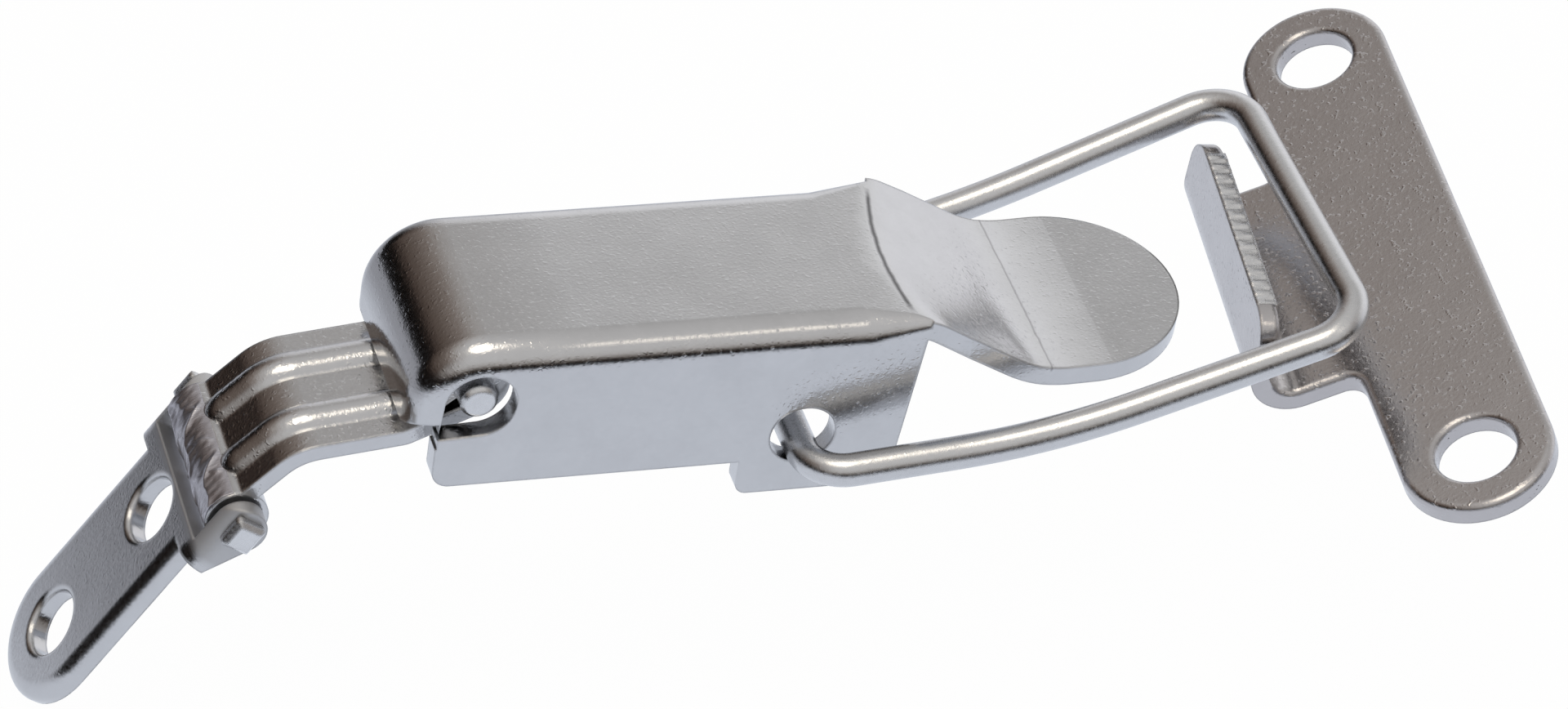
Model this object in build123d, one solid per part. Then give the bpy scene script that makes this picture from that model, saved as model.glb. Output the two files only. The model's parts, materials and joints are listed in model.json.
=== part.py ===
from build123d import *
import os
from math import cos, radians, sin, tan

# Over centre toggle latch, in millimetres.
# X runs along the latch from the base plate to the keeper, +Y is across it, +Z is up.
# The origin is the centre of the base plate's inner screw hole, on its mounting face.
# Every pivot axis is parallel to Y, and the latch is symmetrical about the plane Y = 0.

# Driving dimensions: base plate
BASE_SHEET = 1.5
BASE_WIDTH = 10.8
BASE_HOLE_D = 4.6
BASE_HOLE_PITCH = 11.3
BASE_END_LAND = 2.9         # from the inner hole's centre to the strip's hinge end
BASE_TILT = 57.0            # slope of the strip, falling away from the hinge
BASE_EDGE_R = 1.1           # rolled upper edge of the strip
HOLE_EDGE_R = 0.4           # rolled upper edge of every screw hole
CHEEK_ROOT = 1.5            # length of strip that each cheek is folded from
CHEEK_R = 1.75              # rounded end of a cheek, about the hinge pin
CHEEK_SHEET = 1.2
CHEEK_BEND_R = 0.4          # inside radius of a cheek's fold

# Driving dimensions: hinge between the base plate and the link
HINGE_PIN_D = 1.8
HINGE_REACH = 5.5           # along the strip, from the inner hole to the pin
HINGE_DROP = 0.3            # from the mounting face down to the pin
PIN_HEAD_SIDE = 2.3         # width of the squared, staked ends
PIN_HEAD_H = 0.8
PIN_HEAD_EDGE = 0.35

# Driving dimensions: link plate
LINK_SHEET = 1.2
LINK_WIDTH = 11.7
LEG_ANGLE = 45.0            # slope of the leg that rises from the hinge
LEG_RISE = 0.83             # from the hinge's axis up to the leg's middle line
ROLL_GAP = 0.3              # open seam of each roll
DECK_ANGLE = 7.0            # slope of the deck that runs into the lever
DECK_Z = 10.8               # the deck's top face, below the lever's nose
CRANK_R = 4.2
RAMP_ANGLE = 25.0           # slope that lifts the deck to the lever's pivot
RAMP_R = 2.0
PIVOT_ROLL_SWEEP = 285.0
RIB_OFFSET = 2.7            # from the middle of the link to each pressed rib
RIB_R = 1.6
RIB_HEIGHT = 0.7
RIB_GROOVE_R = 0.7
RIB_REACH_X = 14.6          # where the ribs fade out, below the lever
RIB_START = 0.1             # leg length left plain above the hinge roll
RIB_TAPER = 1.8             # leg length over which each rib sinks to a point
GROOVE_START = 2.4          # leg length left plain below each rib's groove

# Driving dimensions: lever
LEVER_SHEET = 1.5
LEVER_WIDTH = 16.0
LEVER_TOP_Z = 18.7
LEVER_BEND_R = 2.1          # outside radius of the folds along the top and round the nose
INNER_BEND_R = 0.6
FOLD_END_X = 45.0           # from here the folds sharpen towards the rear corners
REAR_CORNER_R = 0.8
NOSE_R = 5.2                # outside radius of the curled front
NOSE_TIP_X = 13.65          # foremost point of the curled front
NOSE_TIP_WIDTH = 11.6
NOSE_TAPER_Z = 13.0         # below this the nose narrows to its lip
FLANGE_X = 15.7             # rear edge of the nose's side flanges
FLANGE_Z = 12.1             # foot of the nose's side flanges
WALL_FRONT_X = 15.6
WALL_HEIGHT = 11.1
WALL_CORNER_R = 1.3
LUG_FRONT_X = 37.1
LUG_HEIGHT = 13.9
LUG_CORNER_R = 0.9
WALL_REAR_X = 49.3
WALL_REAR_LEAN = 1.3        # how much shorter the wall is at its foot
SLOT_R = 2.5
SLOT_MOUTH_Z = 11.65        # lower lip of the slot's mouth
PIVOT_PIN_D = 2.6
PIVOT_X = 18.4
PIVOT_Z = 14.3
BAIL_HOLE_D = 4.6
BAIL_HOLE_X = 41.35
BAIL_HOLE_Z = 9.6

# Driving dimensions: finger tab of the lever
TAB_CREASE_X = 47.9         # middle of the crease, which sweeps back towards the walls
TAB_CREASE_SAG = 1.9
TAB_SLOPE = 26.0
TAB_DROP = 4.9              # from the lever's top to the thumb rest
TAB_TIP_X = 70.1
TAB_WIDTH = 16.4
TAB_BEND_RUN = 1.2          # half the length over which the tab bends down
TAB_REST_RUN = 2.25         # half the length over which it bends out to the thumb rest
TAB_REST_X = 58.0           # where the tab's hollow has died out
TAB_FLARE = 3.0             # length over which the tab widens past the walls
TAB_FIT = 0.01              # how closely the tab's face follows its formula
TAB_COLUMNS, TAB_ROWS = 90, 17
TAB_LIFT = 2.0              # slope of the thumb rest, rising to its tip

# Driving dimensions: wire bail
WIRE_D = 2.3
LEG_BEND_R = 3.0
LEG_INNER_Y = 4.9           # where each leg ends inside the lever
ARM_ROOT_Y = 11.0
ARM_KINK_Y = 12.3
ARM_END_Y = 13.35
ARM_KINK_X = 57.5
ARM_KINK_RISE = 2.8
CROSSBAR_X = 78.5
CROSSBAR_RISE = 11.4        # from the bail's pivot up to the crossbar
KINK_R = 60.0
CORNER_R = 3.4

# Driving dimensions: keeper plate
KEEPER_SHEET = 1.5
KEEPER_HOLE_D = 5.6
KEEPER_HOLE_PITCH = 42.0
KEEPER_WIDTH = 10.8
TONGUE_WIDTH = 21.0
TONGUE_REACH = 12.4         # from the hole line to the hook's outer face
HOOK_HEIGHT = 6.9           # above the plate's top face
HOOK_LEAN = 27.0            # how far the hook leans back over the plate
HOOK_SKEW = 1.5             # the tongue points a little aside
HOOK_BEND_R = 1.6           # inside radius of the hook's fold
HOOK_CORNER_R = 2.4
KEEPER_EDGE_R = 0.5         # rolled upper edge of the plate
NOTCH_R = 1.4
KEEPER_X = 86.3             # middle of the hole line, on the plate's top face
KEEPER_Z = 15.7
KEEPER_TILT = 26.5          # slope of the plate, rising away from the lever
KEEPER_YAW = 5.3            # the loose keeper lies a little askew

# Clearances
RUN_GAP = 0.05              # radial gap of a pin or a wire that turns in a hole
SIDE_GAP = 0.3              # between the link's edges and the base plate's cheeks
REST_GAP = 0.2              # between the lever's nose and the link's ribs
EDGE_BREAK = 0.3            # chamfer of the pivot pin's ends
EPS = 0.01
SPARE = 1.0                 # how far a cutter runs past what it cuts


def place_base(shape):
    """Tilt a shape modelled flat, hinge end towards +X, to the strip's slope."""
    return shape.rotate(Axis.Y, -BASE_TILT)


def side_face(outline, depth, y_start=0.0):
    """Extrude an outline drawn in the XZ plane from y_start towards +Y."""
    return extrude(Plane.XZ.offset(-y_start) * outline, amount=-depth)


def side_slab(outline, width):
    """Extrude an outline drawn in the XZ plane, centred on Y = 0."""
    return side_face(outline, width, -width / 2)


def mirrored(shape):
    """The shape with its mirror image across the plane Y = 0."""
    return [shape, shape.mirror(Plane.XZ)]


def disc_face(x, z, radius):
    return Pos(x, z) * Circle(radius)


def on_circle(centre, radius, angle):
    return Vector(centre[0] + radius * cos(radians(angle)), centre[1] + radius * sin(radians(angle)))


def meet(start_a, angle_a, start_b, angle_b):
    """Where a line through start_a at angle_a crosses a line through start_b at angle_b."""
    ax, ay = cos(radians(angle_a)), sin(radians(angle_a))
    bx, by = cos(radians(angle_b)), sin(radians(angle_b))
    dx, dy = start_b.X - start_a.X, start_b.Y - start_a.Y
    run = (dx * by - dy * bx) / (ax * by - ay * bx)
    return Vector(start_a.X + run * ax, start_a.Y + run * ay)


HINGE_X = HINGE_REACH * cos(radians(BASE_TILT)) + HINGE_DROP * sin(radians(BASE_TILT))
HINGE_Z = HINGE_REACH * sin(radians(BASE_TILT)) - HINGE_DROP * cos(radians(BASE_TILT))
CHEEK_INNER_Y = LINK_WIDTH / 2 + SIDE_GAP
CHEEK_OUTER_Y = CHEEK_INNER_Y + CHEEK_SHEET
BAIL_X = BAIL_HOLE_X
BAIL_Z = BAIL_HOLE_Z - BAIL_HOLE_D / 2 + WIRE_D / 2 + RUN_GAP
HINGE_ROLL_R = HINGE_PIN_D / 2 + RUN_GAP + LINK_SHEET / 2
PIVOT_ROLL_R = PIVOT_PIN_D / 2 + LINK_SHEET / 2


def make_base_plate():
    """Strip with a round end, rolled edges, two screw holes and two cheeks folded at the hinge."""
    strip_length = BASE_HOLE_PITCH + BASE_END_LAND
    strip = Pos(BASE_END_LAND - strip_length / 2, 0) * Rectangle(strip_length, BASE_WIDTH)
    strip += Pos(-BASE_HOLE_PITCH, 0) * Circle(BASE_WIDTH / 2)
    plate = extrude(strip, amount=BASE_SHEET)
    rim = [e for e in top_edges(plate) if e.center().X < BASE_END_LAND - EPS]
    plate = fillet(rim, BASE_EDGE_R)
    root_x = BASE_END_LAND - CHEEK_ROOT
    root = Pos(root_x + CHEEK_ROOT / 2, BASE_SHEET / 2) * Rectangle(CHEEK_ROOT, BASE_SHEET)
    plate += side_slab(root, 2 * CHEEK_OUTER_Y) & folded_envelope(strip_length)
    cheek = make_hull([*root.edges(), *disc_face(HINGE_REACH, -HINGE_DROP, CHEEK_R).edges()])
    for side in mirrored(side_face(cheek, CHEEK_SHEET, CHEEK_INNER_Y)):
        plate += side & folded_envelope(strip_length)
    plate = drill(plate, ((0, 0), (-BASE_HOLE_PITCH, 0)), BASE_HOLE_D)
    plate -= side_slab(disc_face(HINGE_REACH, -HINGE_DROP, HINGE_PIN_D / 2), 3 * LEVER_WIDTH)
    return place_base(plate)


def top_edges(plate):
    """Edges of a flat plate's upper face."""
    return plate.faces().filter_by(Axis.Z).sort_by(Axis.Z)[-1].edges()


def drill(plate, centres, diameter):
    """Punch round holes with rolled upper edges through a flat plate."""
    for x, y in centres:
        plate -= Pos(x, y, 0) * Cylinder(diameter / 2, 4 * BASE_SHEET)
    rims = [e for e in top_edges(plate).filter_by(GeomType.CIRCLE)
            if abs(e.radius - diameter / 2) < EPS]
    return fillet(rims, HOLE_EDGE_R)


def folded_envelope(reach):
    """Long bar whose upper edges are rounded as the cheeks' folds are."""
    depth = 4 * CHEEK_R
    section = Pos(0, BASE_SHEET - depth / 2) * Rectangle(2 * CHEEK_OUTER_Y, depth)
    section = fillet(section.vertices().group_by(Axis.Y)[-1], CHEEK_BEND_R + CHEEK_SHEET)
    return extrude(Plane.YZ * section, amount=reach, both=True)


def make_hinge_pin():
    """Round pin whose squared ends are staked over the cheeks."""
    pin = side_slab(disc_face(0, 0, HINGE_PIN_D / 2), 2 * CHEEK_OUTER_Y)
    head = Box(PIN_HEAD_SIDE, PIN_HEAD_H, PIN_HEAD_SIDE, align=(Align.CENTER, Align.MIN, Align.CENTER))
    outer_rim = head.faces().sort_by(Axis.Y)[-1].edges()
    head = chamfer(outer_rim, PIN_HEAD_EDGE)
    head = fillet(head.edges().filter_by(Axis.Y), PIN_HEAD_EDGE)
    head = Pos(0, CHEEK_OUTER_Y, 0) * head
    for side in mirrored(head):
        pin += side
    return Pos(HINGE_X, 0, HINGE_Z) * Rot(0, -BASE_TILT, 0) * pin


def link_deck_top(x):
    """Height of the deck's top face at x."""
    return DECK_Z + (x - NOSE_TIP_X) * tan(radians(DECK_ANGLE))


def link_corners(lift):
    """Start, crank, ramp foot and end of the link's middle line, raised by lift square to it."""
    hinge, pivot = (HINGE_X, HINGE_Z), (PIVOT_X, PIVOT_Z)
    leg_start = on_circle(hinge, LEG_RISE + lift, 90 + LEG_ANGLE)
    ramp_end = on_circle(pivot, PIVOT_ROLL_R - lift, RAMP_ANGLE - 90)
    deck_point = on_circle((NOSE_TIP_X, DECK_Z), lift - LINK_SHEET / 2, 90 + DECK_ANGLE)
    crank = meet(leg_start, LEG_ANGLE, deck_point, DECK_ANGLE)
    ramp_foot = meet(deck_point, DECK_ANGLE, ramp_end, RAMP_ANGLE)
    return leg_start, crank, ramp_foot, ramp_end


def strap_line(lift):
    """The link's middle line between its two rolls, raised by lift square to it."""
    return FilletPolyline(*link_corners(lift), radius=[CRANK_R + lift, RAMP_R - lift])


def make_link_plate():
    """Cranked strap rolled round a pin at each end, with two pressed ribs."""
    strap = strap_line(0)
    pivot_roll = CenterArc((PIVOT_X, PIVOT_Z), PIVOT_ROLL_R, RAMP_ANGLE - 90, PIVOT_ROLL_SWEEP)
    link = side_slab(trace([*strap.edges(), pivot_roll], LINK_SHEET), LINK_WIDTH)

    # Each rib is a round rod laid along the strap, sunk so that RIB_HEIGHT stands above it.
    top_lift = LINK_SHEET / 2 + RIB_HEIGHT
    rod_path = rib_path(top_lift - RIB_R, RIB_START)
    groove_path = rib_path(-LINK_SHEET / 2, GROOVE_START)
    over_strap = side_slab(trace(strap_line(top_lift / 2).edges(), top_lift), LINK_WIDTH)
    for y in (-RIB_OFFSET, RIB_OFFSET):
        link += swept_rod(rod_path, RIB_R, y) & over_strap
        link -= swept_rod(groove_path, RIB_GROOVE_R, y)

    roll = disc_face(HINGE_X, HINGE_Z, HINGE_ROLL_R + LINK_SHEET / 2)
    seam = Pos(HINGE_X, HINGE_Z) * Rot(0, 0, LEG_ANGLE - 90) * Rectangle(
        2 * HINGE_ROLL_R, ROLL_GAP, align=(Align.MIN, Align.CENTER))
    link += side_slab(roll - seam, LINK_WIDTH)
    link -= side_slab(disc_face(HINGE_X, HINGE_Z, HINGE_PIN_D / 2 + RUN_GAP), 2 * LINK_WIDTH)
    return link


def rib_path(lift, start):
    """Middle line of a rib: the strap's line raised by lift, sinking to nothing on the leg."""
    leg_start, crank, ramp_foot, ramp_end = link_corners(lift)
    sunk = link_corners(lift - RIB_HEIGHT)[0]
    rib_start = on_circle(tuple(sunk), start, LEG_ANGLE)
    rib_full = on_circle(tuple(leg_start), start + RIB_TAPER, LEG_ANGLE)
    deck_run = (RIB_REACH_X - crank.X) / cos(radians(DECK_ANGLE))
    rib_end = on_circle(tuple(crank), deck_run, DECK_ANGLE)
    return FilletPolyline(rib_start, rib_full, crank, rib_end, radius=[RIB_TAPER, CRANK_R + lift])


def swept_rod(path, radius, y):
    """Round-ended rod of the given radius along a path drawn in the XZ plane at y."""
    wire = Plane.XZ.offset(-y) * Wire(path.edges())
    section = Plane(wire @ 0, z_dir=wire % 0) * Circle(radius)
    rod = sweep(section, wire)
    for end in (wire @ 0, wire @ 1):
        rod += Pos(*end) * Sphere(radius)
    return rod


def make_pivot_pin():
    """Plain pin through the link's roll, its ends level with the lever's walls."""
    length = LEVER_WIDTH - 2 * EDGE_BREAK
    pin = side_slab(disc_face(PIVOT_X, PIVOT_Z, PIVOT_PIN_D / 2), length)
    ends = pin.faces().filter_by(Axis.Y).edges()
    return chamfer(ends, EDGE_BREAK)


def wall_outline():
    """Side view of a lever wall with its lug and the nose's flange, before slot and holes."""
    foot_z = LEVER_TOP_Z - WALL_HEIGHT
    lug_z = LEVER_TOP_Z - LUG_HEIGHT
    foot_x = WALL_REAR_X - WALL_REAR_LEAN
    wall = make_face(Polyline(
        (WALL_FRONT_X, LEVER_TOP_Z), (WALL_FRONT_X, foot_z), (LUG_FRONT_X, foot_z),
        (LUG_FRONT_X, lug_z), (foot_x, lug_z), (WALL_REAR_X, LEVER_TOP_Z), close=True))
    front_corner = wall.vertices().sort_by_distance((WALL_FRONT_X, foot_z, 0))[0]
    wall = fillet(front_corner, WALL_CORNER_R)
    lug_corners = [wall.vertices().sort_by_distance((x, lug_z, 0))[0] for x in (LUG_FRONT_X, foot_x)]
    wall = fillet(lug_corners, LUG_CORNER_R)
    lip_z = nose_lip_z()
    nose = make_face(Polyline(
        (NOSE_TIP_X - SPARE, LEVER_TOP_Z), (NOSE_TIP_X - SPARE, lip_z), (NOSE_TIP_X + LEVER_SHEET, lip_z),
        (FLANGE_X, FLANGE_Z), (FLANGE_X, LEVER_TOP_Z), close=True))
    # The slot's mouth lies between the foot of the flange and the wall's front corner.
    slot = disc_face(PIVOT_X, PIVOT_Z, SLOT_R)
    mouth = make_face(Polyline(
        (NOSE_TIP_X + LEVER_SHEET, FLANGE_Z), (FLANGE_X, FLANGE_Z), (PIVOT_X - SLOT_R, PIVOT_Z),
        (PIVOT_X, PIVOT_Z), (PIVOT_X, PIVOT_Z - SLOT_R), (FLANGE_X, SLOT_MOUTH_Z),
        (NOSE_TIP_X + LEVER_SHEET, SLOT_MOUTH_Z), close=True))
    return wall - mouth - slot + (nose - slot)


def nose_lip_z():
    return link_deck_top(NOSE_TIP_X + LEVER_SHEET) + RIB_HEIGHT + REST_GAP


def lever_block(inset, width, bend_r):
    """Solid bar with the lever's curled front and folded corners, inset all round by a sheet."""
    front, top = NOSE_TIP_X + inset, LEVER_TOP_Z - inset
    foot_z = LEVER_TOP_Z - LUG_HEIGHT - SPARE
    outline = make_face(Polyline(
        (front, foot_z), (front, top), (FOLD_END_X, top), (FOLD_END_X, foot_z), close=True))
    nose_corner = outline.vertices().sort_by_distance((front, top, 0))[0]
    block = side_slab(fillet(nose_corner, NOSE_R - inset), width)
    folds = [e for e in block.edges() if abs(abs(e.center().Y) - width / 2) < EPS
             and e.center().Z > foot_z + EPS and e.center().X < FOLD_END_X - EPS]
    return fillet(folds, bend_r)


def tab_height(x, y):
    """Height of the tab's upper face: level, then down the slope, then out along the thumb rest.

    The crease sweeps back towards the walls, and the hollow this leaves dies out by the rest.
    """
    fade = min(max((TAB_REST_X - x) / (TAB_REST_X - TAB_CREASE_X), 0), 1)
    run = x - TAB_CREASE_X - TAB_CREASE_SAG * fade * (2 * y / LEVER_WIDTH) ** 2
    slope, lift = tan(radians(TAB_SLOPE)), tan(radians(TAB_LIFT))
    rest_run = TAB_DROP / slope
    fall = slope * eased(run, TAB_BEND_RUN) - (slope + lift) * eased(run - rest_run, TAB_REST_RUN)
    return LEVER_TOP_Z - TAB_FIT - fall


def eased(run, ease):
    """A ramp that starts at zero with a soft parabola of half length ease."""
    if run < -ease:
        return 0.0
    if run > ease:
        return run
    return (run + ease) ** 2 / (4 * ease)


def make_tab():
    """Finger tab: a hollowed sheet from the end of the folds to a round tip."""
    x_step = (TAB_TIP_X + SPARE - FOLD_END_X + SPARE) / (TAB_COLUMNS - 1)
    y_step = (TAB_WIDTH + 2 * SPARE) / (TAB_ROWS - 1)
    grid = []
    for i in range(TAB_COLUMNS):
        x = FOLD_END_X - SPARE + i * x_step
        line = []
        for j in range(TAB_ROWS):
            y = -TAB_WIDTH / 2 - SPARE + j * y_step
            line.append(Vector(x, y, tab_height(x, y)))
        grid.append(line)
    face = Face.make_surface_from_array_of_points(grid, tol=TAB_FIT / 10)
    sheet = thicken(face, amount=-LEVER_SHEET if face.normal_at().Z > 0 else LEVER_SHEET)
    round_x = TAB_TIP_X - TAB_WIDTH / 2
    root = Pos(FOLD_END_X, 0) * Rectangle(
        WALL_REAR_X - FOLD_END_X, LEVER_WIDTH, align=(Align.MIN, Align.CENTER))
    blade = make_face(Polyline(
        (WALL_REAR_X, -LEVER_WIDTH / 2), (WALL_REAR_X + TAB_FLARE, -TAB_WIDTH / 2), (round_x, -TAB_WIDTH / 2),
        (round_x, TAB_WIDTH / 2), (WALL_REAR_X + TAB_FLARE, TAB_WIDTH / 2), (WALL_REAR_X, LEVER_WIDTH / 2),
        close=True))
    plan = root + blade + Pos(round_x, 0) * Circle(TAB_WIDTH / 2)
    return sheet & extrude(plan, amount=2 * LEVER_TOP_Z)


def fold_cutter(x_start, r_start, x_end, r_end):
    """What is left outside a fold whose radius changes evenly from r_start to r_end."""
    half, top = LEVER_WIDTH / 2, LEVER_TOP_Z
    sections = []
    for x, r in ((x_start, r_start), (x_end, r_end)):
        rim = Polyline((half - r, top), (half - r, top + SPARE), (half + SPARE, top + SPARE),
                       (half + SPARE, top - r), (half, top - r))
        arc = CenterArc((half - r, top - r), r, 0, 90)
        sections.append(Plane.YZ.offset(x) * make_face([*rim.edges(), arc]))
    return loft(sections, ruled=True)


def make_lever():
    """Folded channel with a curled nose, slotted walls, lugs and a finger tab."""
    half_width = LEVER_WIDTH / 2
    shell = lever_block(0, LEVER_WIDTH, LEVER_BEND_R)
    shell -= lever_block(LEVER_SHEET, LEVER_WIDTH - 2 * LEVER_SHEET, INNER_BEND_R)
    outline = wall_outline()
    shell &= side_slab(outline, LEVER_WIDTH)

    # The nose narrows to the link's width at its lip.
    lip_z = nose_lip_z()
    taper = make_face(Polyline(
        (NOSE_TIP_WIDTH / 2, lip_z - SPARE), (NOSE_TIP_WIDTH / 2, lip_z), (half_width, NOSE_TAPER_Z),
        (half_width + SPARE, NOSE_TAPER_Z), (half_width + SPARE, lip_z - SPARE), close=True))
    for side in mirrored(extrude(Plane.YZ.offset(NOSE_TIP_X - SPARE) * taper, amount=LEVER_SHEET + 2 * SPARE)):
        shell -= side & side_slab(nose_front(), 2 * LEVER_WIDTH)

    rear = Pos(FOLD_END_X, 0, LEVER_TOP_Z - LEVER_SHEET / 2) * Box(
        LEVER_WIDTH, 2 * LEVER_WIDTH, LEVER_TOP_Z, align=(Align.MIN, Align.CENTER, Align.MAX))
    walls = side_face(outline, LEVER_SHEET, half_width - LEVER_SHEET) & rear
    lever = shell + make_tab()
    for side in mirrored(walls):
        lever += side
    for side in mirrored(fold_cutter(FOLD_END_X, LEVER_BEND_R, WALL_REAR_X + EPS, REAR_CORNER_R)):
        lever -= side
    lever -= side_slab(disc_face(BAIL_HOLE_X, BAIL_HOLE_Z, BAIL_HOLE_D / 2), 2 * LEVER_WIDTH)
    return lever


def nose_front():
    """Side view of what lies in front of the slot."""
    return make_face(Polyline(
        (NOSE_TIP_X - SPARE, 0), (FLANGE_X + EPS, 0), (FLANGE_X + EPS, LEVER_TOP_Z),
        (NOSE_TIP_X - SPARE, LEVER_TOP_Z), close=True))


def make_wire_bail():
    """One bent wire: two legs turned into the lever's lugs, two kinked arms and a crossbar."""
    far = [
        (BAIL_X, LEG_INNER_Y, BAIL_Z),
        (BAIL_X, ARM_ROOT_Y, BAIL_Z),
        (ARM_KINK_X, ARM_KINK_Y, BAIL_Z + ARM_KINK_RISE),
        (CROSSBAR_X, ARM_END_Y, BAIL_Z + CROSSBAR_RISE),
    ]
    near = [(x, -y, z) for x, y, z in far]
    path = FilletPolyline(*near, *reversed(far), radius=[
        LEG_BEND_R, KINK_R, CORNER_R, CORNER_R, KINK_R, LEG_BEND_R])
    wire = Wire(path.edges())
    section = Plane(wire @ 0, z_dir=wire % 0) * Circle(WIRE_D / 2)
    return sweep(section, wire)


def make_keeper_plate():
    """T-shaped plate with rolled edges, two screw holes and a tongue folded back into a hook."""
    half_pitch = KEEPER_HOLE_PITCH / 2
    wing = Rectangle(KEEPER_WIDTH, KEEPER_HOLE_PITCH)
    for y in (-half_pitch, half_pitch):
        wing += Pos(0, y) * Circle(KEEPER_WIDTH / 2)
    bend_x = -TONGUE_REACH + KEEPER_SHEET + HOOK_BEND_R
    skew = Rot(0, 0, -HOOK_SKEW)
    tongue = skew * Pos(bend_x, 0) * Rectangle(-bend_x, TONGUE_WIDTH, align=(Align.MIN, Align.CENTER))
    blank = wing + tongue
    notches = [v for v in blank.vertices()
               if abs(v.X + KEEPER_WIDTH / 2) < EPS and abs(v.Y) < TONGUE_WIDTH]
    blank = fillet(notches, NOTCH_R)
    plate = extrude(blank, amount=-KEEPER_SHEET)
    plate = plate + skew * make_hook(bend_x)
    top = plate.faces().filter_by(Axis.Z).sort_by(Axis.Z)[-1]
    rim = [e for e in top.edges() if e.center().X > -KEEPER_WIDTH / 2 - EPS]
    plate = fillet(rim, KEEPER_EDGE_R)
    plate = drill(plate, ((0, -half_pitch), (0, half_pitch)), KEEPER_HOLE_D)
    return Pos(KEEPER_X, 0, KEEPER_Z) * Rot(0, -KEEPER_TILT, 0) * Rot(0, 0, -KEEPER_YAW) * plate


def make_hook(bend_x):
    """The tongue's end, folded up past square so that it leans back over the plate."""
    middle_r = HOOK_BEND_R + KEEPER_SHEET / 2
    outer_r = HOOK_BEND_R + KEEPER_SHEET
    lean = radians(HOOK_LEAN)
    corner_run = middle_r * tan((radians(90) + lean) / 2)
    straight = (HOOK_HEIGHT - HOOK_BEND_R - outer_r * sin(lean)) / cos(lean)
    corner = Vector(bend_x - corner_run, -KEEPER_SHEET / 2)
    end = corner + Vector(sin(lean), cos(lean)) * (corner_run + straight)
    line = FilletPolyline((bend_x + KEEPER_SHEET, -KEEPER_SHEET / 2), corner, end, radius=middle_r)
    hook = side_slab(trace(line.edges(), KEEPER_SHEET), TONGUE_WIDTH)
    end_corners = [e for e in hook.edges() if e.length < KEEPER_SHEET + EPS and e.center().Z > HOOK_BEND_R]
    return fillet(end_corners, HOOK_CORNER_R)


nodes = {
    "base_plate": make_base_plate(),
    "base_hinge_pin": make_hinge_pin(),
    "link_plate": make_link_plate(),
    "lever_pivot_pin": make_pivot_pin(),
    "lever": make_lever(),
    "wire_bail": make_wire_bail(),
    "keeper_plate": make_keeper_plate(),
}

os.makedirs("parts", exist_ok=True)
for name, shape in nodes.items():
    export_step(shape, f"parts/{name}.step")
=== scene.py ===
"""Over centre toggle latch: finishes for its pressed and plated steel pieces, and a plain white stage."""
import json

import bpy
import numpy as np
from mathutils import Matrix, Vector


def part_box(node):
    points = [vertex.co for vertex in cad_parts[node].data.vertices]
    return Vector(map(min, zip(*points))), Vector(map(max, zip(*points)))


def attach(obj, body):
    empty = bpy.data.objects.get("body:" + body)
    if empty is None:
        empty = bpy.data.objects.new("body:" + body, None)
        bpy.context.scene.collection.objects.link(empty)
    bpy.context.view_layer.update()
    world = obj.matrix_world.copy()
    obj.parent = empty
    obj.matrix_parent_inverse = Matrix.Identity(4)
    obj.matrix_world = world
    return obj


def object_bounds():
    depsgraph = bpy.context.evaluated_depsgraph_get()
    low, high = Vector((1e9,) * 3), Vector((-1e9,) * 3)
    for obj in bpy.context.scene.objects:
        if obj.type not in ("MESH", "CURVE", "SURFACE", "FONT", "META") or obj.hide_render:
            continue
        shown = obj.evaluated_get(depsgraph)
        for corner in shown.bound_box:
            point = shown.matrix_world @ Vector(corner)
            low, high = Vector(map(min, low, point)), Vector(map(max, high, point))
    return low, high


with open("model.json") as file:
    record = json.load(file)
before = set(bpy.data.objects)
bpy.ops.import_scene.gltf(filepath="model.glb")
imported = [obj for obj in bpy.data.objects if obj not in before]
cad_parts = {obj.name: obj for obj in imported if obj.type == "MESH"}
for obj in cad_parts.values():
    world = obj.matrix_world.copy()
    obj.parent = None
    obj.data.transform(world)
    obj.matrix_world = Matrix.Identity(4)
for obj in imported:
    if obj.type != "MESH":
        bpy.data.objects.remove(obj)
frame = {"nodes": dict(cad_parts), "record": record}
CAD_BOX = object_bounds()

bl_info = {
    "name": "Over Centre Toggle Latch",
    "version": (1, 0, 0),
    "blender": (4, 5, 0),
    "location": "3D View > Sidebar > Latch",
    "description": "Dresses a pressed-metal toggle latch with plated finishes and sets a plain white stage",
    "category": "Object",
}

MM = 0.001
SHEET = 1.5 * MM

# Hinge roll
JOINTS = {joint["name"]: joint for joint in frame["record"]["behaviour"]["joints"]}
HINGE = np.array(JOINTS["base_hinge"]["pos_m"])     # axis of the roll
SKIN_TURN = (100.0, 292.0)                          # where its ground skin starts and ends, in degrees
SKIN_SEAT = 2.16 * MM                               # inner radius of the skin, just over the roll
SKIN_MARGIN = 0.08 * MM                             # from the skin to the roll's ends
SKIN_GRID = (150, 160)                              # points round the roll and across it
RUB_NEAR, RUB_FAR = 3.0 * MM, 4.2 * MM              # the strip is matt up to near, and plain from far

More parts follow.
